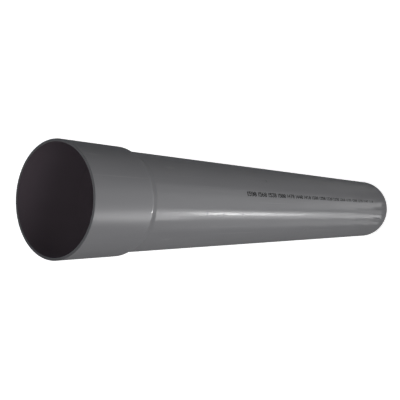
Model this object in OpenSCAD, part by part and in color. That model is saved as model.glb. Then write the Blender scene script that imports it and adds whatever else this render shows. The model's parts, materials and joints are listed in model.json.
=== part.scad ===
// Rigid PVC electrical conduit with an integral push-on socket.
// One extruded and belled piece. It stands on its spigot, centred on the origin, with the socket's mouth up.

/* [Conduit] */
// Outside diameter of the conduit
conduit_od = 125; // [63:1:250]
// Wall thickness of the conduit
conduit_wall = 3.7; // [2:0.1:7]
// Length from the spigot's end to the socket's mouth
overall_length = 890; // [500:10:6000]

/* [Socket] */
// Depth of the socket, from its mouth to where its shoulder starts
socket_depth = 88.5; // [50:0.5:160]
// Wall thickness of the socket, thinned a little where the conduit was stretched over the mandrel
socket_wall = 3.6; // [2:0.1:7]
// Gap all round between a conduit of this size and the socket's bore
socket_clearance = 0.3; // [0.1:0.05:0.6]
// Length of the sloping shoulder between the socket and the conduit
shoulder_length = 12; // [8:0.5:30]
// Radius of the bend at the shoulder's foot, on the outside of the wall
shoulder_bend = 3; // [1:0.5:12]
// Radius of the tighter corner where the socket ends, on the inside of the wall
shoulder_corner = 1; // [0.5:0.5:6]

/* [Ends] */
// Length of the lead-in chamfer inside the mouth
lead_in_length = 1.5; // [1:0.5:8]
// Depth of that chamfer into the wall
lead_in_depth = 0.5; // [0.3:0.1:1.6]
// Length of the chamfer round the outside of the spigot's end
spigot_chamfer_length = 3; // [1:0.5:10]
// Depth of that chamfer into the wall
spigot_chamfer_depth = 1; // [0.3:0.1:1.6]
// Radius that softens the cut edges
edge_round = 0.4; // [0.1:0.1:0.6]

/* [Hidden] */
around = 180; // facets round the conduit when it is drawn
arc_steps = 6; // straight steps in each rounded corner
corner_share = 0.45; // most of a side that the rounding at either end may use

conduit_r = conduit_od / 2;
bore_r = conduit_r - conduit_wall;
socket_bore_r = conduit_r + socket_clearance;
socket_r = socket_bore_r + socket_wall;
shoulder_top = overall_length - socket_depth;
shoulder_foot = shoulder_top - shoulder_length;

// The section of the wall, as [radius, height, rounding of the corner].
wall_section = [
    // outside, from the spigot up to the mouth
    [conduit_r - spigot_chamfer_depth, 0, edge_round],
    [conduit_r, spigot_chamfer_length, edge_round],
    [conduit_r, shoulder_foot, shoulder_bend],
    [socket_r, shoulder_top, shoulder_corner + socket_wall],
    [socket_r, overall_length, edge_round],
    // inside, from the mouth back down to the spigot
    [socket_bore_r + lead_in_depth, overall_length, edge_round],
    [socket_bore_r, overall_length - lead_in_length, edge_round],
    [socket_bore_r, shoulder_top, shoulder_corner],
    [bore_r, shoulder_foot, shoulder_bend + conduit_wall],
    [bore_r, 0, edge_round]
];

function place(corner) = [corner[0], corner[1]];

// The arc that rounds the corner at b, where the sides from a and to c meet.
function rounded_corner(a, b, c, wanted_radius) =
    let (
        to_a = (a - b) / norm(a - b),
        to_c = (c - b) / norm(c - b),
        half_angle = acos(to_a * to_c) / 2,
        shorter_side = min(norm(a - b), norm(c - b)),
        radius = min(wanted_radius, corner_share * shorter_side * tan(half_angle)),
        start = b + to_a * radius / tan(half_angle),
        end = b + to_c * radius / tan(half_angle),
        centre = b + (to_a + to_c) / norm(to_a + to_c) * radius / sin(half_angle),
        start_angle = atan2(start.y - centre.y, start.x - centre.x),
        end_angle = atan2(end.y - centre.y, end.x - centre.x),
        turn = (end_angle - start_angle + 540) % 360 - 180
    )
    [
        for (i = [0:arc_steps])
            let (angle = start_angle + turn * i / arc_steps)
            centre + radius * [cos(angle), sin(angle)]
    ];

function rounded_outline(corners) =
    let (last = len(corners) - 1)
    [
        for (i = [0:last])
            let (
                before = place(corners[i == 0 ? last : i - 1]),
                here = place(corners[i]),
                after = place(corners[i == last ? 0 : i + 1])
            )
            each rounded_corner(before, here, after, corners[i][2])
    ];

module conduit() {
    color("dimgray")
        rotate_extrude($fn = around)
            polygon(rounded_outline(wall_section));
}

conduit();
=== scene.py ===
import json
import math
import bpy
from mathutils import Matrix, Vector


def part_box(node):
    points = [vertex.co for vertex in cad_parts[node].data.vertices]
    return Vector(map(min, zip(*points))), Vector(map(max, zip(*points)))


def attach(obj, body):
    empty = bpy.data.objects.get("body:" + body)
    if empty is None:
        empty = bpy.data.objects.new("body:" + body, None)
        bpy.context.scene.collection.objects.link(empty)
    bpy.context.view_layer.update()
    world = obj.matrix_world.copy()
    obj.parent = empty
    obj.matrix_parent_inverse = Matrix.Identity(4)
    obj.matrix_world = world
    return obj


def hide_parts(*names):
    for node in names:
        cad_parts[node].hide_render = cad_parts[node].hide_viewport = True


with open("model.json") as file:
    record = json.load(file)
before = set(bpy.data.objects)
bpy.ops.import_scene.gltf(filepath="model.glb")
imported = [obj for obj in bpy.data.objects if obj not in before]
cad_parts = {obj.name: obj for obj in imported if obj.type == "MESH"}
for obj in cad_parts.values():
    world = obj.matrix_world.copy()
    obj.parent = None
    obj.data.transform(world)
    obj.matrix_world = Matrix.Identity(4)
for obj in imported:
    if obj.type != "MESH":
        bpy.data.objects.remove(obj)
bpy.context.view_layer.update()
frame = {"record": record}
mm = 0.001  # lengths below are in millimetres, and are turned to metres where a mesh or node takes them

# the frame settles the main sizes: the conduit stands on its spigot, with the mouth up
mounts = {mount["name"]: mount for mount in frame["record"]["mounts"]}
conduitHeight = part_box("conduit")[1].z / mm
barrelRadius = mounts["spigot"]["dims"]["r_mm"]
boreRadius = mounts["cable_bore"]["dims"]["r_mm"]
socketBoreRadius = mounts["socket"]["dims"]["r_mm"]
print("frame: conduit", round(conduitHeight), "mm tall, barrel", 2 * barrelRadius, "mm across")


def toLinear(hexCode):
    # an sRGB hex value as the linear colour that Blender's sockets hold, by the standard curve
    channels = [int(hexCode[i:i + 2], 16) / 255 for i in (1, 3, 5)]
    linear = [c / 12.92 if c <= 0.04045 else ((c + 0.055) / 1.055) ** 2.4 for c in channels]
    return (*linear, 1.0)


def bearing(azimuth):
    # a level direction; 0 is the side the camera is on, and positive turns towards the row's +X
    return Vector((math.sin(math.radians(azimuth)), -math.cos(math.radians(azimuth)), 0))


def addNode(tree, kind, settings=None, inputs=None):
    # one node, with its settings, and its inputs as plain values or as links from other nodes
    node = tree.nodes.new(kind)
    for name, value in (settings or {}).items():
        setattr(node, name, value)
    for key, source in (inputs or {}).items():
        if isinstance(source, bpy.types.NodeSocket):
            tree.links.new(source, node.inputs[key])
        else:
            node.inputs[key].default_value = source
    return node


def newMaterial(name):
    # an empty node material, with its output node
    material = bpy.data.materials.new(name)
    material.use_nodes = True
    material.node_tree.nodes.clear()
    output = material.node_tree.nodes.new("ShaderNodeOutputMaterial")
    return material, material.node_tree, output


def newGeometryTree(name, sizes):
    # an empty geometry tree with a Geometry input and output, and one named input for each size
    tree = bpy.data.node_groups.new(name, "GeometryNodeTree")
    tree.interface.new_socket("Geometry", in_out="INPUT", socket_type="NodeSocketGeometry")
    tree.interface.new_socket("Geometry", in_out="OUTPUT", socket_type="NodeSocketGeometry")
    for size, kind in sizes.items():
        tree.interface.new_socket(size, in_out="INPUT", socket_type=kind)
    return tree, tree.nodes.new("NodeGroupInput"), tree.nodes.new("NodeGroupOutput")


def runTree(name, baseMesh, tree, values):
    # puts the tree on the base mesh, sets its inputs by identifier, and returns the plain mesh object
    base = bpy.data.objects.new(name + "Base", baseMesh)
    bpy.context.scene.collection.objects.link(base)
    modifier = base.modifiers.new("tree", "NODES")
    modifier.node_group = tree
    identifiers = {s.name: s.identifier for s in tree.interface.items_tree if s.in_out == "INPUT"}
    for inputName, value in values.items():
        modifier[identifiers[inputName]] = value
    bpy.context.view_layer.update()
    evaluated = base.evaluated_get(bpy.context.evaluated_depsgraph_get())
    mesh = bpy.data.meshes.new_from_object(evaluated)
    mesh.name = name
    base.modifiers.remove(modifier)
    bpy.data.objects.remove(base)
    piece = bpy.data.objects.new(name, mesh)
    bpy.context.scene.collection.objects.link(piece)
    return piece


# how a relief is drawn out: along the conduit, along the saw's strokes, or not at all
lengthwise = (1, 1, 0.004)
strokewise = (1, 0.05, 1)
evenly = (1, 1, 1)

# PVC-U, coloured through: opaque dust grey, a little blue. Its gloss is a thin coat over a base that
# has none, so that wear can dull it. The coat's IOR is well above PVC's own, which keeps the shine
# nearly as strong face-on as at a glancing view, so the sides of the tube don't whiten
pvc = {
    "ior": 1.5,
    "coatIor": 2.2,
    "roughnessSpread": 0.04,     # the relief takes the roughness up and down by this much
    "cloudSize": 45,             # mm, the faint cloudiness of recycled resin
    "cloudStretch": (1, 1, 0.3),
    "dustReach": (-66, 12),      # mm from front to back; painted shade darkens a sawn rim from none to full in between
}
# each finish: its two close colours, its gloss, and its relief, whose size and depth are in mm
pvcFinishes = {
    # off the extruder: satin, with die lines that streak the highlight lengthwise; they are drawn
    # coarser than the real 0.5 mm, so that they show
    "barrel": {
        "name": "extrudedPvcBarrel", "colors": ("#6b6b6d", "#646466"),
        "roughness": 0.42, "coat": 0.055, "coatRoughness": 0.16,
        "reliefStretch": lengthwise, "reliefSize": 2.2, "reliefDepth": 0.002, "handled": True},
    # reheated and belled over a mandrel: a softer sheen, over the ripple that reheating leaves
    "socket": {
        "name": "belledPvcSocket", "colors": ("#6b6b6d", "#646466"),
        "roughness": 0.42, "coat": 0.045, "coatRoughness": 0.3,
        "reliefStretch": evenly, "reliefSize": 7, "reliefDepth": 0.02, "handled": True},
    # stretched most: PVC whitens a little there and is almost matte
    "shoulder": {
        "name": "stretchedPvcShoulder", "colors": ("#6e6e70", "#6b6b6d"),
        "roughness": 0.5, "coat": 0.018, "coatRoughness": 0.3,
        "reliefStretch": evenly, "reliefSize": 7, "reliefDepth": 0.02},
    # the inside, in a dark warm colour that is painted shade, and without a highlight
    "bore": {
        "name": "extrudedPvcBore", "colors": ("#332e32", "#2d282c"),
        "roughness": 0.6, "coat": 0.0, "coatRoughness": 0.3,
        "reliefStretch": lengthwise, "reliefSize": 3, "reliefDepth": 0.01},
    # cut with a fine saw: matte, with painted shade that darkens it towards the back
    "sawn": {
        "name": "sawnPvcEnd", "colors": ("#606062", "#4a4a4c"),
        "roughness": 0.7, "specular": 0.2, "coat": 0.0, "coatRoughness": 0.3,
        "reliefStretch": strokewise, "reliefSize": 0.8, "reliefDepth": 0.05, "dusty": True},
    # the corner that rubs on everything it passes: polished, so that it catches a hard glint
    "rubbed": {
        "name": "rubbedPvcCorner", "colors": ("#6b6b6d", "#646466"),
        "roughness": 0.4, "coat": 0.12, "coatRoughness": 0.06,
        "reliefStretch": evenly, "reliefSize": 7, "reliefDepth": 0.01},
}
handlingMarks = {
    # nicks across the barrel, as [degrees round from the front, mm above the spigot's end]
    "nicks": ((-11.7, 689), (-12.1, 651), (-12.2, 603), (38, 520), (71, 700), (112, 310), (155, 640),
              (186, 210), (203, 455), (248, 590), (290, 130), (322, 380)),
    "nickSize": (4, 3),          # mm from the middle to the rim, round the barrel and along it
    "nickDepth": 0.05,           # mm
    "nickDulling": 1.0,          # share of the gloss lost in the middle
    "nickGrey": "#3a3a3b",       # painted shade darkening the middle of a nick
    "nickDirt": 0.35,            # how much of it shows
    "scuffSpacing": 24,          # mm
    "scuffStretch": (1, 1, 0.2),  # a rub is five times longer than wide
    "scuffWidth": 0.11,          # of the spacing
    "scratchSpacing": 3,         # mm
    "scratchStretch": (1, 1, 0.012),
    "scratchRange": (0.69, 0.8),  # noise at which a scratch starts and is full; higher is rarer
    "scuffGrey": "#8a8a8c",      # rubbed PVC is paler
    "scuffPaleness": 0.16,
    "scuffDulling": 0.2,
}


def stretchedNoise(tree, coordinates, stretch, size, detail):
    # noise with features of the given size in mm, drawn out by scaling the coordinates first
    mapping = addNode(tree, "ShaderNodeMapping", {}, {"Vector": coordinates, "Scale": stretch})
    return addNode(tree, "ShaderNodeTexNoise", {}, {
        "Vector": mapping.outputs["Vector"], "Scale": 1 / (size * mm), "Detail": detail}).outputs["Fac"]


def nickMask(tree, coordinates):
    # 1 in the middle of each listed nick, down to 0 at its rim
    around, along = handlingMarks["nickSize"]
    mask = 0.0
    for azimuth, height in handlingMarks["nicks"]:
        place = (bearing(azimuth) * barrelRadius + Vector((0, 0, height))) * mm
        local = addNode(tree, "ShaderNodeMapping", {"vector_type": "TEXTURE"}, {
            "Vector": coordinates, "Location": place,
            "Scale": (around * mm, around * mm, along * mm)})
        nick = addNode(tree, "ShaderNodeTexGradient", {"gradient_type": "SPHERICAL"}, {
            "Vector": local.outputs["Vector"]})
        mask = addNode(tree, "ShaderNodeMath", {"operation": "MAXIMUM"}, {
            0: nick.outputs["Fac"], 1: mask}).outputs[0]
    return mask


def scuffMask(tree, coordinates):
    # sparse short rubs and long fine scratches, all lengthwise, from dragging over the ground
    stretched = addNode(tree, "ShaderNodeMapping", {}, {
        "Vector": coordinates, "Scale": handlingMarks["scuffStretch"]})
    cells = addNode(tree, "ShaderNodeTexVoronoi", {}, {
        "Vector": stretched.outputs["Vector"], "Scale": 1 / (handlingMarks["scuffSpacing"] * mm)})
    rubs = addNode(tree, "ShaderNodeMapRange", {}, {
        "Value": cells.outputs["Distance"], "From Min": handlingMarks["scuffWidth"], "From Max": 0.0})
    lines = stretchedNoise(
        tree, coordinates, handlingMarks["scratchStretch"], handlingMarks["scratchSpacing"], 1)
    start, full = handlingMarks["scratchRange"]
    scratches = addNode(tree, "ShaderNodeMapRange", {}, {
        "Value": lines, "From Min": start, "From Max": full})
    return addNode(tree, "ShaderNodeMath", {"operation": "MAXIMUM"}, {
        0: rubs.outputs[0], 1: scratches.outputs[0]}).outputs[0]


def addHandling(tree, coordinates, relief, reliefDepth, color, coat):
    # dents the relief where it was nicked, lays pale rubs and painted shade in the nicks over the
    # colour, and dulls the gloss
    nicks, scuffs = nickMask(tree, coordinates), scuffMask(tree, coordinates)
    dented = addNode(tree, "ShaderNodeMath", {"operation": "MULTIPLY_ADD"}, {
        0: nicks, 1: -handlingMarks["nickDepth"] / reliefDepth, 2: relief}).outputs[0]
    # the rubs' paler grey is wear; the nicks' darker grey is painted shade
    layers = ((scuffs, "scuffPaleness", "scuffGrey"), (nicks, "nickDirt", "nickGrey"))
    for marks, share, shade in layers:
        factor = addNode(tree, "ShaderNodeMath", {"operation": "MULTIPLY"}, {
            0: marks, 1: handlingMarks[share]})
        color = addNode(tree, "ShaderNodeMix", {"data_type": "RGBA"}, {
            "Factor": factor.outputs[0], 6: color, 7: toLinear(handlingMarks[shade])}).outputs[2]
    nickLoss = addNode(tree, "ShaderNodeMath", {"operation": "MULTIPLY"}, {
        0: nicks, 1: handlingMarks["nickDulling"]})
    scuffLoss = addNode(tree, "ShaderNodeMath", {"operation": "MULTIPLY"}, {
        0: scuffs, 1: handlingMarks["scuffDulling"]})
    loss = addNode(tree, "ShaderNodeMath", {"operation": "MAXIMUM"}, {
        0: nickLoss.outputs[0], 1: scuffLoss.outputs[0]})
    shine = addNode(tree, "ShaderNodeMapRange", {}, {
        "Value": loss.outputs[0], "To Min": coat, "To Max": 0.0}).outputs[0]
    return dented, color, shine


def pvcMaterial(name, colors, roughness, coat, coatRoughness, reliefStretch, reliefSize, reliefDepth,
                specular=0.0, handled=False, dusty=False):
    # PVC in two close colours with one kind of fine relief, and marks of handling on the outside
    material, tree, output = newMaterial(name)
    coordinates = addNode(tree, "ShaderNodeTexCoord").outputs["Object"]
    # painted shade: the colour goes from the first at the front to the darker second at the back
    if dusty:
        depth = addNode(tree, "ShaderNodeSeparateXYZ", {}, {"Vector": coordinates}).outputs["Y"]
        unshadedAt, full = pvc["dustReach"]
        mixing = addNode(tree, "ShaderNodeMapRange", {}, {
            "Value": depth, "From Min": unshadedAt * mm, "From Max": full * mm}).outputs[0]
    else:
        mixing = stretchedNoise(tree, coordinates, pvc["cloudStretch"], pvc["cloudSize"], 3)
    # a Mix node's sockets 6 and 7 are its two colours, and its output 2 is the mixed one
    color = addNode(tree, "ShaderNodeMix", {"data_type": "RGBA"}, {
        "Factor": mixing, 6: toLinear(colors[0]), 7: toLinear(colors[1])}).outputs[2]
    relief = stretchedNoise(tree, coordinates, reliefStretch, reliefSize, 2)
    height = relief
    if handled:
        height, color, coat = addHandling(tree, coordinates, relief, reliefDepth, color, coat)
    bump = addNode(tree, "ShaderNodeBump", {}, {
        "Height": height, "Strength": 1.0, "Distance": reliefDepth * mm})
    sheen = addNode(tree, "ShaderNodeMapRange", {}, {
        "Value": relief,
        "To Min": roughness - pvc["roughnessSpread"], "To Max": roughness + pvc["roughnessSpread"]})
    shader = addNode(tree, "ShaderNodeBsdfPrincipled", {}, {
        "Base Color": color, "Roughness": sheen.outputs[0],
        "IOR": pvc["ior"], "Specular IOR Level": specular,
        "Coat Weight": coat, "Coat Roughness": coatRoughness, "Coat IOR": pvc["coatIor"],
        "Normal": bump.outputs["Normal"], "Coat Normal": bump.outputs["Normal"]})
    tree.links.new(shader.outputs["BSDF"], output.inputs["Surface"])
    return material


pvcMaterials = {part: pvcMaterial(**finish) for part, finish in pvcFinishes.items()}
print("materials:", ", ".join(pvcMaterials))

conduitShape = {
    "socketDepth": 88.5,
    "socketWall": 3.6,
    "shoulderLength": 12,
    "shoulderBend": 3,           # radius of the bend at the shoulder's foot
    "shoulderCorner": 1,         # radius inside the wall where the socket ends
    "leadInLength": 1.5,
    "leadInDepth": 0.5,
    "spigotChamferLength": 3,
    "spigotChamferDepth": 1,
    "edgeRound": 0.4,
    "cornerPolish": 0.7,         # the corner where the socket ends is polished this far each way
    "mouthLean": 0.5,            # at the mouth, faces that look up more than this are sawn
    "spigotLean": 0.2,           # and at the spigot's end those that look down more than this
    "bendSteps": 6,
    "facetsAround": 256,
    "ringSpacing": 12,           # rings along the plain walls, so that they can wander a little
    "shortWall": 20,             # a wall shorter than this gets no rings
    "supportGap": 0.7,           # a ring this far from each rounding keeps the walls' shading flat
    "wander": 0.12,              # how far the wall strays inwards from a true cylinder
    "wanderSize": 160,           # length of one such stray
    "wanderSeed": 3.0,
    "weldDistance": 0.01,        # closes the grid on itself
}


def sectionCorners(shape):
    # the wall's section as [radius, height, rounding], the way round that the CAD source has it
    top = conduitHeight
    bellEnd = top - shape["socketDepth"]
    foot = bellEnd - shape["shoulderLength"]
    socketRadius = socketBoreRadius + shape["socketWall"]
    bend, corner, edge = shape["shoulderBend"], shape["shoulderCorner"], shape["edgeRound"]
    barrelWall = barrelRadius - boreRadius
    return [
        (barrelRadius - shape["spigotChamferDepth"], 0, edge),
        (barrelRadius, shape["spigotChamferLength"], edge),
        (barrelRadius, foot, bend),
        (socketRadius, bellEnd, corner + shape["socketWall"]),
        (socketRadius, top, edge),
        (socketBoreRadius + shape["leadInDepth"], top, edge),
        (socketBoreRadius, top - shape["leadInLength"], edge),
        (socketBoreRadius, bellEnd, corner),
        (boreRadius, foot, bend + barrelWall),
        (boreRadius, 0, edge),
    ]


def ringsBetween(start, end, shape):
    # extra section points between two corners: one close to each, and evenly spaced ones on a long wall
    span = math.dist(start[:2], end[:2])
    if span < shape["shortWall"]:
        return []
    near = [corner[2] / 2 + shape["supportGap"] for corner in (start, end)]
    inner = span - sum(near)
    count = int(inner / shape["ringSpacing"])
    shares = [(near[0] + inner * i / count) / span for i in range(count + 1)]
    return [tuple(a + (b - a) * share for a, b in zip(start[:2], end[:2])) + (0,) for share in shares]


def sectionMesh(shape):
    # a closed ring of edges in the XZ plane, with each corner's rounding as an attribute
    corners = sectionCorners(shape)
    points = []
    for start, end in zip(corners, corners[1:] + corners[:1]):
        points.append(start)
        points.extend(ringsBetween(start, end, shape))
    mesh = bpy.data.meshes.new("conduitSection")
    edges = [(i, (i + 1) % len(points)) for i in range(len(points))]
    mesh.from_pydata([(radius * mm, 0, height * mm) for radius, height, _ in points], edges, [])
    rounding = mesh.attributes.new("cornerRounding", "FLOAT", "POINT")
    rounding.data.foreach_set("value", [corner[2] * mm for corner in points])
    return mesh


def turnedTree():
    # rounds the section's corners, then turns it about Z as a grid of rings that closes on itself
    tree, given, result = newGeometryTree("turnedSection", {
        "Facets Around": "NodeSocketInt", "Bend Steps": "NodeSocketInt", "Wander": "NodeSocketFloat",
        "Wander Size": "NodeSocketFloat", "Seed": "NodeSocketFloat", "Weld Distance": "NodeSocketFloat",
        "Material": "NodeSocketMaterial"})
    outline = addNode(tree, "GeometryNodeMeshToCurve", {}, {"Mesh": given.outputs["Geometry"]})
    rounding = addNode(tree, "GeometryNodeInputNamedAttribute", {"data_type": "FLOAT"}, {
        "Name": "cornerRounding"})
    section = addNode(tree, "GeometryNodeFilletCurve", {"mode": "POLY"}, {
        "Curve": outline.outputs["Curve"], "Count": given.outputs["Bend Steps"],
        "Radius": rounding.outputs["Attribute"], "Limit Radius": True}).outputs["Curve"]
    # the grid has one column for each point of the section and one row for each facet round it, and
    # one more of each, which lies on the first
    size = addNode(tree, "GeometryNodeAttributeDomainSize", {"component": "CURVE"}, {
        "Geometry": section})
    pointCount, around = size.outputs["Point Count"], given.outputs["Facets Around"]
    columns = addNode(tree, "FunctionNodeIntegerMath", {"operation": "ADD"}, {0: pointCount, 1: 1})
    rows = addNode(tree, "FunctionNodeIntegerMath", {"operation": "ADD"}, {0: around, 1: 1}).outputs[0]
    grid = addNode(tree, "GeometryNodeMeshGrid", {}, {
        "Vertices X": columns.outputs[0], "Vertices Y": rows})
    index = addNode(tree, "GeometryNodeInputIndex").outputs["Index"]
    column = addNode(tree, "FunctionNodeIntegerMath", {"operation": "DIVIDE_FLOOR"}, {
        0: index, 1: rows})
    row = addNode(tree, "FunctionNodeIntegerMath", {"operation": "MODULO"}, {0: index, 1: rows})
    onSection = addNode(tree, "FunctionNodeIntegerMath", {"operation": "MODULO"}, {
        0: column.outputs[0], 1: pointCount})
    position = addNode(tree, "GeometryNodeInputPosition").outputs["Position"]
    sampled = addNode(tree, "GeometryNodeSampleIndex", {"data_type": "FLOAT_VECTOR"}, {
        "Geometry": section, "Value": position, "Index": onSection.outputs[0]})
    radiusAndHeight = addNode(tree, "ShaderNodeSeparateXYZ", {}, {"Vector": sampled.outputs["Value"]})
    share = addNode(tree, "ShaderNodeMath", {"operation": "DIVIDE"}, {0: row.outputs[0], 1: around})
    angle = addNode(tree, "ShaderNodeMath", {"operation": "MULTIPLY"}, {
        0: share.outputs[0], 1: math.tau})
    alongX = addNode(tree, "ShaderNodeMath", {"operation": "COSINE"}, {0: angle.outputs[0]})
    alongY = addNode(tree, "ShaderNodeMath", {"operation": "SINE"}, {0: angle.outputs[0]})
    outwards = addNode(tree, "ShaderNodeCombineXYZ", {}, {
        "X": alongX.outputs[0], "Y": alongY.outputs[0]})
    upwards = addNode(tree, "ShaderNodeCombineXYZ", {}, {"Z": radiusAndHeight.outputs["Z"]})
    turned = addNode(tree, "ShaderNodeVectorMath", {"operation": "MULTIPLY_ADD"}, {
        0: outwards.outputs[0], 1: radiusAndHeight.outputs["X"], 2: upwards.outputs[0]})
    # the wall strays inwards by up to Wander, alike on both faces of the wall
    strayAt = addNode(tree, "ShaderNodeVectorMath", {"operation": "MULTIPLY_ADD"}, {
        0: outwards.outputs[0], 1: (barrelRadius * mm,) * 3, 2: upwards.outputs[0]})
    frequency = addNode(tree, "ShaderNodeMath", {"operation": "DIVIDE"}, {
        0: 1.0, 1: given.outputs["Wander Size"]})
    noise = addNode(tree, "ShaderNodeTexNoise", {"noise_dimensions": "4D"}, {
        "Vector": strayAt.outputs[0], "W": given.outputs["Seed"],
        "Scale": frequency.outputs[0], "Detail": 1.0})
    stray = addNode(tree, "ShaderNodeMath", {"operation": "MULTIPLY"}, {
        0: noise.outputs["Fac"], 1: given.outputs["Wander"]})
    inwards = addNode(tree, "ShaderNodeMath", {"operation": "MULTIPLY"}, {0: stray.outputs[0], 1: -1.0})
    offset = addNode(tree, "ShaderNodeVectorMath", {"operation": "SCALE"}, {
        0: outwards.outputs[0], "Scale": inwards.outputs[0]})
    shaped = addNode(tree, "GeometryNodeSetPosition", {}, {
        "Geometry": grid.outputs["Mesh"], "Position": turned.outputs[0], "Offset": offset.outputs[0]})
    closed = addNode(tree, "GeometryNodeMergeByDistance", {}, {
        "Geometry": shaped.outputs["Geometry"], "Distance": given.outputs["Weld Distance"]})
    outside = addNode(tree, "GeometryNodeFlipFaces", {}, {"Mesh": closed.outputs["Geometry"]})
    smooth = addNode(tree, "GeometryNodeSetShadeSmooth", {}, {"Geometry": outside.outputs["Mesh"]})
    realized = addNode(tree, "GeometryNodeRealizeInstances", {}, {
        "Geometry": smooth.outputs["Geometry"]})
    finished = addNode(tree, "GeometryNodeSetMaterial", {}, {
        "Geometry": realized.outputs["Geometry"], "Material": given.outputs["Material"]})
    tree.links.new(finished.outputs["Geometry"], result.inputs["Geometry"])
    return tree


def finishOf(face, shape):
    # the name of the finish that a face of the wall has
    outwards = Vector((face.center.x, face.center.y, 0)).normalized()
    height = face.center.z / mm
    atMouth = height > conduitHeight - shape["leadInLength"] - shape["edgeRound"]
    atSpigot = height < shape["spigotChamferLength"] + shape["edgeRound"]
    if atMouth and face.normal.z > shape["mouthLean"]:
        return "sawn"
    if atSpigot and face.normal.z < -shape["spigotLean"]:
        return "sawn"
    # faces that look inwards take the bore finish, whose dark colour is painted shade
    if face.normal.dot(outwards) < 0:
        return "bore"
    belowSocket = conduitHeight - shape["socketDepth"] - height
    if abs(belowSocket) < shape["cornerPolish"]:
        return "rubbed"
    if belowSocket < 0:
        return "socket"
    return "shoulder" if belowSocket < shape["shoulderLength"] else "barrel"


conduit = runTree("conduit_wall", sectionMesh(conduitShape), turnedTree(), {
    "Facets Around": conduitShape["facetsAround"], "Bend Steps": conduitShape["bendSteps"],
    "Wander": conduitShape["wander"] * mm, "Wander Size": conduitShape["wanderSize"] * mm,
    "Seed": conduitShape["wanderSeed"], "Weld Distance": conduitShape["weldDistance"] * mm,
    "Material": pvcMaterials["barrel"]})
conduit.data.materials.clear()
for material in pvcMaterials.values():
    conduit.data.materials.append(material)
finishSlots = list(pvcMaterials)
for face in conduit.data.polygons:
    face.material_index = finishSlots.index(finishOf(face, conduitShape))
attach(conduit, "root")
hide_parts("conduit")
print("conduit:", len(conduit.data.polygons), "faces")

scalePrint = {
    "firstMark": 590,            # mm above the spigot's end
    "lastMark": 110,
    "markEvery": 30,
    "startBearing": 15.7,        # degrees round from the front, where the row starts
    "endBearing": 15.0,          # the row creeps round a little, as the conduit does on the haul-off
    "dotAlong": 1.2,             # spacing of the dots along the conduit
    "dotAround": 0.95,           # spacing round it where the row starts
    "dotAroundEnd": 0.6,         # and where it ends: the printing head drifted away from the wall
    "dotSize": 1.6,              # wider than the spacing, so that the dots run together
    "dotSizeEnd": 1.2,
    "dotSpread": (0.85, 1.1),    # each dot is up to this much smaller or larger
    "dotDrag": 1.6,              # dots are this much longer than wide: the conduit moved under the head
    "dotHeight": 0.03,           # how far the dried ink stands up
    "dotDepth": 0.2,             # thickness of a dot, nearly all of it sunk in the wall
    "dotFacets": 6,
    "dropFrom": 2,               # dots are dropped onto the wall from this far off
    "dropReach": 10,             # and look for it this far
    "missingShare": 0.03,        # dots that a nozzle skipped
    "seed": 5,
    "digitPitch": 6,             # dots from one digit to the next
    "tickPitch": 3,              # and from the tick to its number
    "middleLine": 3,             # the line of dots, counted from 0, that runs on the bearing
    "ink": "#060607",
    "inkWorn": "#111113",
    "roughness": 0.85,
    "specular": 0.05,
    "wearSize": 9,               # patches where the ink has worn
    "wearStretch": (1, 1, 0.4),
    "grainSize": 0.5,
    "grainDepth": 0.02,
}
# plain numbers in five by seven dots, and a tick
dotDigits = {
    "0": ".###. #...# #..## #.#.# ##..# #...# .###.",
    "1": "..#.. .##.. ..#.. ..#.. ..#.. ..#.. .###.",
    "2": ".###. #...# ....# ...#. ..#.. .#... #####",
    "3": "##### ...#. ..#.. ...#. ....# #...# .###.",
    "4": "...#. ..##. .#.#. #..#. ##### ...#. ...#.",
    "5": "##### #.... ####. ....# ....# #...# .###.",
    "6": "..##. .#... #.... ####. #...# #...# .###.",
    "7": "##### ....# ...#. ..#.. .#... .#... .#...",
    "8": ".###. #...# #...# .###. #...# #...# .###.",
    "9": ".###. #...# #...# .#### ....# ...#. .##..",
    "|": "#.... #.... #.... #.... #.... #.... #....",
}


def inkMaterial():
    # dried solvent ink: dead matte, a little thinner and greyer in patches
    material, tree, output = newMaterial("driedMarkingInk")
    coordinates = addNode(tree, "ShaderNodeTexCoord").outputs["Object"]
    patches = stretchedNoise(tree, coordinates, scalePrint["wearStretch"], scalePrint["wearSize"], 3)
    tint = addNode(tree, "ShaderNodeMix", {"data_type": "RGBA"}, {
        "Factor": patches, 6: toLinear(scalePrint["ink"]), 7: toLinear(scalePrint["inkWorn"])})
    grain = addNode(tree, "ShaderNodeTexNoise", {}, {
        "Vector": coordinates, "Scale": 1 / (scalePrint["grainSize"] * mm)})
    bump = addNode(tree, "ShaderNodeBump", {}, {
        "Height": grain.outputs["Fac"], "Distance": scalePrint["grainDepth"] * mm})
    shader = addNode(tree, "ShaderNodeBsdfPrincipled", {}, {
        "Base Color": tint.outputs[2], "Roughness": scalePrint["roughness"],
        "Specular IOR Level": scalePrint["specular"], "Normal": bump.outputs["Normal"]})
    tree.links.new(shader.outputs["BSDF"], output.inputs["Surface"])
    return material


def dotPlaces():
    # where each dot of the scale goes, as a height in mm and a number of dots round the barrel
    places = []
    for mark in range(scalePrint["firstMark"], scalePrint["lastMark"] - 1, -scalePrint["markEvery"]):
        column = 0
        for character in "|" + str(mark):
            for line, dots in enumerate(dotDigits[character].split()):
                for step, dot in enumerate(dots):
                    if dot == "#":
                        height = mark - (column + step) * scalePrint["dotAlong"]
                        places.append((height, scalePrint["middleLine"] - line))
            column += scalePrint["tickPitch" if character == "|" else "digitPitch"]
    return places


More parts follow.
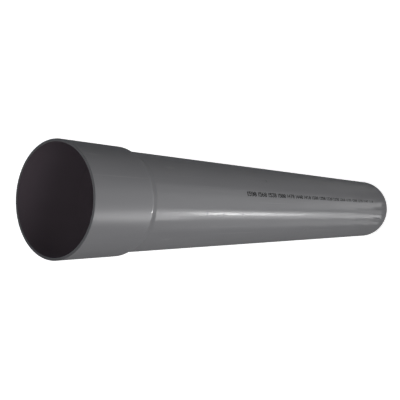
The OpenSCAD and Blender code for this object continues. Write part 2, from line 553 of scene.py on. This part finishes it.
def dotMesh():
    # one loose point just outside the barrel for each dot, with the dot's size as an attribute
    top, bottom = scalePrint["firstMark"], scalePrint["lastMark"]
    reach = barrelRadius + scalePrint["dropFrom"]
    points, sizes = [], []
    for height, around in dotPlaces():
        share = (top - height) / (top - bottom)
        spacing, azimuth, size = [
            scalePrint[start] + share * (scalePrint[end] - scalePrint[start])
            for start, end in (("dotAround", "dotAroundEnd"), ("startBearing", "endBearing"),
                               ("dotSize", "dotSizeEnd"))]
        outwards = bearing(azimuth + math.degrees(around * spacing / barrelRadius))
        points.append((outwards * reach + Vector((0, 0, height))) * mm)
        sizes.append(size * mm)
    mesh = bpy.data.meshes.new("scaleDots")
    mesh.from_pydata(points, [], [])
    dotSize = mesh.attributes.new("dotSize", "FLOAT", "POINT")
    dotSize.data.foreach_set("value", sizes)
    return mesh


def printTree():
    # drops each point onto the conduit's surface and puts a small flat dot of ink there
    tree, given, result = newGeometryTree("inkDots", {
        "Conduit": "NodeSocketObject", "Drop Reach": "NodeSocketFloat", "Dot Drag": "NodeSocketFloat",
        "Dot Height": "NodeSocketFloat", "Dot Depth": "NodeSocketFloat", "Dot Facets": "NodeSocketInt",
        "Smallest Dot": "NodeSocketFloat", "Largest Dot": "NodeSocketFloat",
        "Missing Share": "NodeSocketFloat", "Seed": "NodeSocketInt", "Material": "NodeSocketMaterial"})
    target = addNode(tree, "GeometryNodeObjectInfo", {}, {"Object": given.outputs["Conduit"]})
    position = addNode(tree, "GeometryNodeInputPosition").outputs["Position"]
    inwards = addNode(tree, "ShaderNodeVectorMath", {"operation": "MULTIPLY"}, {
        0: position, 1: (-1, -1, 0)})
    landed = addNode(tree, "GeometryNodeRaycast", {}, {
        "Target Geometry": target.outputs["Geometry"], "Source Position": position,
        "Ray Direction": inwards.outputs[0], "Ray Length": given.outputs["Drop Reach"]})
    # each dot is a short prism; its middle goes half its thickness below the top of the ink
    halfDepth = addNode(tree, "ShaderNodeMath", {"operation": "DIVIDE"}, {
        0: given.outputs["Dot Depth"], 1: 2.0})
    lift = addNode(tree, "ShaderNodeMath", {"operation": "SUBTRACT"}, {
        0: given.outputs["Dot Height"], 1: halfDepth.outputs[0]})
    raised = addNode(tree, "ShaderNodeVectorMath", {"operation": "SCALE"}, {
        0: landed.outputs["Hit Normal"], "Scale": lift.outputs[0]})
    dropped = addNode(tree, "GeometryNodeSetPosition", {}, {
        "Geometry": given.outputs["Geometry"], "Position": landed.outputs["Hit Position"],
        "Offset": raised.outputs[0]})
    skipped = addNode(tree, "FunctionNodeRandomValue", {"data_type": "BOOLEAN"}, {
        "Probability": given.outputs["Missing Share"], "Seed": given.outputs["Seed"]})
    printed = addNode(tree, "GeometryNodeDeleteGeometry", {"domain": "POINT"}, {
        "Geometry": dropped.outputs["Geometry"], "Selection": skipped.outputs[3]})
    dotSize = addNode(tree, "GeometryNodeInputNamedAttribute", {"data_type": "FLOAT"}, {
        "Name": "dotSize"})
    dot = addNode(tree, "GeometryNodeMeshCylinder", {}, {
        "Vertices": given.outputs["Dot Facets"], "Radius": 0.5, "Depth": given.outputs["Dot Depth"]})
    # the prism's Z stands on the wall and its Y lies along the conduit, which is where it is drawn out
    alongConduit = addNode(tree, "FunctionNodeAlignRotationToVector", {"axis": "Y"}, {
        "Vector": (0, 0, -1)})
    facing = addNode(tree, "FunctionNodeAlignRotationToVector", {"axis": "Z", "pivot_axis": "Y"}, {
        "Rotation": alongConduit.outputs["Rotation"], "Vector": landed.outputs["Hit Normal"]})
    spread = addNode(tree, "FunctionNodeRandomValue", {"data_type": "FLOAT"}, {
        2: given.outputs["Smallest Dot"], 3: given.outputs["Largest Dot"],
        "Seed": given.outputs["Seed"]})
    across = addNode(tree, "ShaderNodeMath", {"operation": "MULTIPLY"}, {
        0: spread.outputs[1], 1: dotSize.outputs["Attribute"]})
    drawnOut = addNode(tree, "ShaderNodeMath", {"operation": "MULTIPLY"}, {
        0: across.outputs[0], 1: given.outputs["Dot Drag"]})
    scaling = addNode(tree, "ShaderNodeCombineXYZ", {}, {
        "X": across.outputs[0], "Y": drawnOut.outputs[0], "Z": 1.0})
    dots = addNode(tree, "GeometryNodeInstanceOnPoints", {}, {
        "Points": printed.outputs["Geometry"], "Instance": dot.outputs["Mesh"],
        "Rotation": facing.outputs["Rotation"], "Scale": scaling.outputs[0]})
    realized = addNode(tree, "GeometryNodeRealizeInstances", {}, {
        "Geometry": dots.outputs["Instances"]})
    finished = addNode(tree, "GeometryNodeSetMaterial", {}, {
        "Geometry": realized.outputs["Geometry"], "Material": given.outputs["Material"]})
    tree.links.new(finished.outputs["Geometry"], result.inputs["Geometry"])
    return tree


printedScale = runTree("printed_scale", dotMesh(), printTree(), {
    "Conduit": conduit, "Drop Reach": scalePrint["dropReach"] * mm,
    "Dot Drag": scalePrint["dotDrag"], "Dot Height": scalePrint["dotHeight"] * mm,
    "Dot Depth": scalePrint["dotDepth"] * mm, "Dot Facets": scalePrint["dotFacets"],
    "Smallest Dot": scalePrint["dotSpread"][0], "Largest Dot": scalePrint["dotSpread"][1],
    "Missing Share": scalePrint["missingShare"], "Seed": scalePrint["seed"],
    "Material": inkMaterial()})
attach(printedScale, "root")
print("printed scale:", len(printedScale.data.polygons), "faces")

studio = {
    "floorSize": 8000,
    "floorColor": "#e6e6e6",
    "floorBounce": "#989898",    # the floor as the conduit's own sides see it
    "floorGlow": 0.78,           # added only where the floor is seen, so that it reads as white
    "seenWorld": 1.0,            # white where the world is seen
    "worldLight": 0.08,          # what the world gives the object
}


def seenShare(tree):
    # 1 on rays that see the background: straight from the camera, or by gloss or glass
    path = addNode(tree, "ShaderNodeLightPath")
    glossy = addNode(tree, "ShaderNodeMath", {"operation": "MAXIMUM"}, {
        0: path.outputs["Is Camera Ray"], 1: path.outputs["Is Glossy Ray"]})
    return addNode(tree, "ShaderNodeMath", {"operation": "MAXIMUM"}, {
        0: glossy.outputs[0], 1: path.outputs["Is Transmission Ray"]}).outputs[0]


def makeFloor():
    # pale matte floor that still takes the conduit's shadow
    material, tree, output = newMaterial("paleFloor")
    matte = addNode(tree, "ShaderNodeBsdfDiffuse", {}, {"Color": toLinear(studio["floorColor"])})
    dim = addNode(tree, "ShaderNodeBsdfDiffuse", {}, {"Color": toLinear(studio["floorBounce"])})
    glow = addNode(tree, "ShaderNodeEmission", {}, {
        "Color": (1, 1, 1, 1), "Strength": studio["floorGlow"]})
    seen = addNode(tree, "ShaderNodeAddShader", {}, {0: matte.outputs[0], 1: glow.outputs[0]})
    chosen = addNode(tree, "ShaderNodeMixShader", {}, {
        0: seenShare(tree), 1: dim.outputs[0], 2: seen.outputs[0]})
    tree.links.new(chosen.outputs[0], output.inputs["Surface"])
    half = studio["floorSize"] * mm / 2
    corners = [(-half, -half, 0), (half, -half, 0), (half, half, 0), (-half, half, 0)]
    mesh = bpy.data.meshes.new("floor")
    mesh.from_pydata(corners, [], [(0, 1, 2, 3)])
    mesh.materials.append(material)
    floor = bpy.data.objects.new("floor", mesh)
    bpy.context.scene.collection.objects.link(floor)


def makeWorld():
    # white where it is seen, and only a faint even light on the object
    world = bpy.data.worlds.new("studioWorld")
    bpy.context.scene.world = world
    world.use_nodes = True
    world.node_tree.nodes.clear()
    tree = world.node_tree
    strength = addNode(tree, "ShaderNodeMapRange", {}, {
        "Value": seenShare(tree), "To Min": studio["worldLight"], "To Max": studio["seenWorld"]})
    background = addNode(tree, "ShaderNodeBackground", {}, {
        "Color": (1, 1, 1, 1), "Strength": strength.outputs[0]})
    output = tree.nodes.new("ShaderNodeOutputWorld")
    tree.links.new(background.outputs[0], output.inputs["Surface"])


def placeLamp(name, kind):
    # a new lamp of the given kind and the object that holds it
    lamp = bpy.data.lights.new(name, kind)
    holder = bpy.data.objects.new(name, lamp)
    bpy.context.scene.collection.objects.link(holder)
    return lamp, holder


# small lamps along the axis, just under the mouth, that keep the inside of the socket from going black
boreFill = {
    "depths": (4, 28, 52, 76, 100, 124, 148),  # mm below the mouth
    "aside": (20, 13, 6, 2, 0, 0, 0),          # mm from the axis, towards the side that shows
    "side": 125,                               # which side that is, in degrees round from the front
    "lampRadius": 12,
    "level": 0.8,
}


def addBoreFill(depths, aside, side, lampRadius, level):
    # the lamps stand for one long tube, which would light the wall round it to the given level
    spacing = (depths[-1] - depths[0]) / (len(depths) - 1) * mm
    for depth, offset in zip(depths, aside):
        lamp, holder = placeLamp("boreFill" + str(depth), "POINT")
        lamp.shadow_soft_size = lampRadius * mm
        lamp.energy = level * 2 * math.pi ** 2 * spacing * boreRadius * mm
        holder.location = (bearing(side) * offset + Vector((0, 0, conduitHeight - depth))) * mm
        holder.visible_camera = False
        holder.visible_glossy = False


# broad even lights: the side each comes from, how high and how far spread, in degrees, and its level,
# which is how a white card that faces it would come out; the side light is a little blue, like a window
softLights = {
    "keyLight": {"azimuth": -19, "elevation": 8, "spread": 34, "level": 0.94},
    "fillLight": {"azimuth": 0, "elevation": 50, "spread": 40, "level": 0.06},
    "backLight": {"azimuth": -162, "elevation": 12, "spread": 16, "level": 0.75},
    "sideLight": {"azimuth": 144, "elevation": 12, "spread": 40, "level": 0.48, "tint": "#ecf3ff"},
}


def addSoftLight(name, azimuth, elevation, spread, level, tint="#ffffff"):
    # it gives no highlight: those come from the floor fans
    lamp, holder = placeLamp(name, "SUN")
    lamp.color = toLinear(tint)[:3]
    lamp.angle = math.radians(spread)
    lamp.energy = level * math.pi  # pi brings a white card that faces the lamp to 1
    rise = math.radians(elevation)
    towards = bearing(azimuth) * math.cos(rise) + Vector((0, 0, math.sin(rise)))
    holder.rotation_euler = towards.to_track_quat("Z", "Y").to_euler()
    holder.visible_glossy = False


# each fan is one lengthwise highlight; its levels go from the conduit's foot outwards, and are lower
# near it, because the wall mirrors the near floor more glancingly
fanHeight = 3  # mm above the floor
frontSteps = (10, 30, 70, 130, 210, 300, 400, 500, 560, 680, 1300)  # mm from a fan's start
backSteps = (20, 150, 400, 800, 1400, 2200, 3000, 3900)
floorFans = {
    "streak": {"start": (-9, -62), "azimuth": -25.4, "halfAngle": 3,
               "levels": (7, 8.5, 12.5, 22, 49, 70, 112, 64, 16, 0)},
    "halo": {"start": (-17, -60), "azimuth": -26, "halfAngle": 13,
             "levels": (14.5, 14.5, 15, 13.5, 13, 13, 13, 12, 11, 3.5)},
    "socketStreak": {"start": (75, -33), "azimuth": -34.8, "halfAngle": 6.4,
                     "levels": (0, 0, 0, 0, 0, 0, 0, 0, 0, 39)},
    "upperBand": {"start": (14, -61), "azimuth": 5.8, "halfAngle": 18,
                  "levels": (8.2, 8.2, 7.8, 5.8, 4.6, 4.4, 4.4, 4.4, 4.4, 3.2)},
    "widerBand": {"start": (10, -61), "azimuth": 17, "halfAngle": 28,
                  "levels": (3, 3, 2.8, 2.4, 2.4, 2.6, 2.6, 2.6, 2.4, 1.1)},
    "lowerBand": {"start": (-32, -53), "azimuth": -53, "halfAngle": 14,
                  "levels": (4.8, 4.8, 4.6, 4.2, 3.6, 3.2, 3, 2.6, 2.2, 0.6)},
    "aboveStreak": {"start": (-6, -62), "azimuth": -12, "halfAngle": 17,
                    "levels": (4, 4, 3.5, 1.5, 0.5, 0, 0, 0, 0, 0)},
    "belowStreak": {"start": (-25, -57), "azimuth": -38, "halfAngle": 9,
                    "levels": (2.5, 2.5, 2, 1.2, 0.6, 0, 0, 0, 0, 0)},
    "topBand": {"start": (38, -50), "azimuth": 95, "halfAngle": 28,
                "levels": (1.2, 1.2, 1, 0.7, 0.4, 0.2, 0, 0, 0, 0)},
    "backStreak": {"start": (0, 62), "azimuth": 178, "halfAngle": 5, "steps": backSteps,
                   "levels": (14, 18, 22, 24, 22, 17, 9)},
    "backHalo": {"start": (0, 62), "azimuth": 180, "halfAngle": 15, "steps": backSteps,
                 "levels": (4, 5, 6, 6, 6, 5, 3)},
}


def addFloorFan(name, start, azimuth, halfAngle, levels, steps=frontSteps):
    # lamps that lie on the floor and shine up, each as wide as its distance asks, on a line from a
    # point at the conduit's foot; only the wall's gloss shows them, and they light nothing
    for near, far, level in zip(steps, steps[1:], levels):
        if level == 0:
            continue
        middle = (near + far) / 2
        lamp, holder = placeLamp(name + str(near), "AREA")
        lamp.shape = "RECTANGLE"
        lamp.size = 2 * middle * math.tan(math.radians(halfAngle)) * mm
        lamp.size_y = (far - near) * mm
        lamp.energy = level * math.pi * lamp.size * lamp.size_y  # pi over each square metre shows as 1
        holder.location = (Vector((*start, fanHeight)) + bearing(azimuth) * middle) * mm
        turn = Matrix.Rotation(math.radians(azimuth), 3, "Z") @ Matrix.Rotation(math.pi, 3, "X")
        holder.rotation_euler = turn.to_euler()
        holder.visible_camera = False
        holder.visible_diffuse = False


makeFloor()
makeWorld()
addBoreFill(**boreFill)
for name, light in softLights.items():
    addSoftLight(name, **light)
for name, fan in floorFans.items():
    addFloorFan(name, **fan)
print("studio:", len(bpy.data.lights), "lamps")

camera = {
    "lens": 51.75,               # mm, as all below but the roll
    "fromAxis": 499.7,
    "aboveMouth": 403.5,
    "aimAcross": 5.75,
    "aimBelowMouth": 265.9,
    "roll": 1.751,               # degrees
    "clip": (10, 50000),
}


def makeCamera():
    # looks down along the conduit; the view's up is the row's +X, so that the conduit lies across it
    data = bpy.data.cameras.new("camera")
    data.lens = camera["lens"]
    data.clip_start, data.clip_end = [reach * mm for reach in camera["clip"]]
    holder = bpy.data.objects.new("camera", data)
    bpy.context.scene.collection.objects.link(holder)
    place = Vector((0, -camera["fromAxis"], conduitHeight + camera["aboveMouth"]))
    aim = Vector((camera["aimAcross"], 0, conduitHeight - camera["aimBelowMouth"]))
    back = (place - aim).normalized()
    right = Vector((1, 0, 0)).cross(back).normalized()
    up = back.cross(right)
    level = Matrix((right, up, back)).transposed()
    roll = Matrix.Rotation(math.radians(camera["roll"]), 3, "Z")
    holder.location = place * mm
    holder.rotation_euler = (level @ roll).to_euler()
    bpy.context.scene.camera = holder


makeCamera()
bpy.context.scene.view_settings.view_transform = "Standard"
print("camera ready")
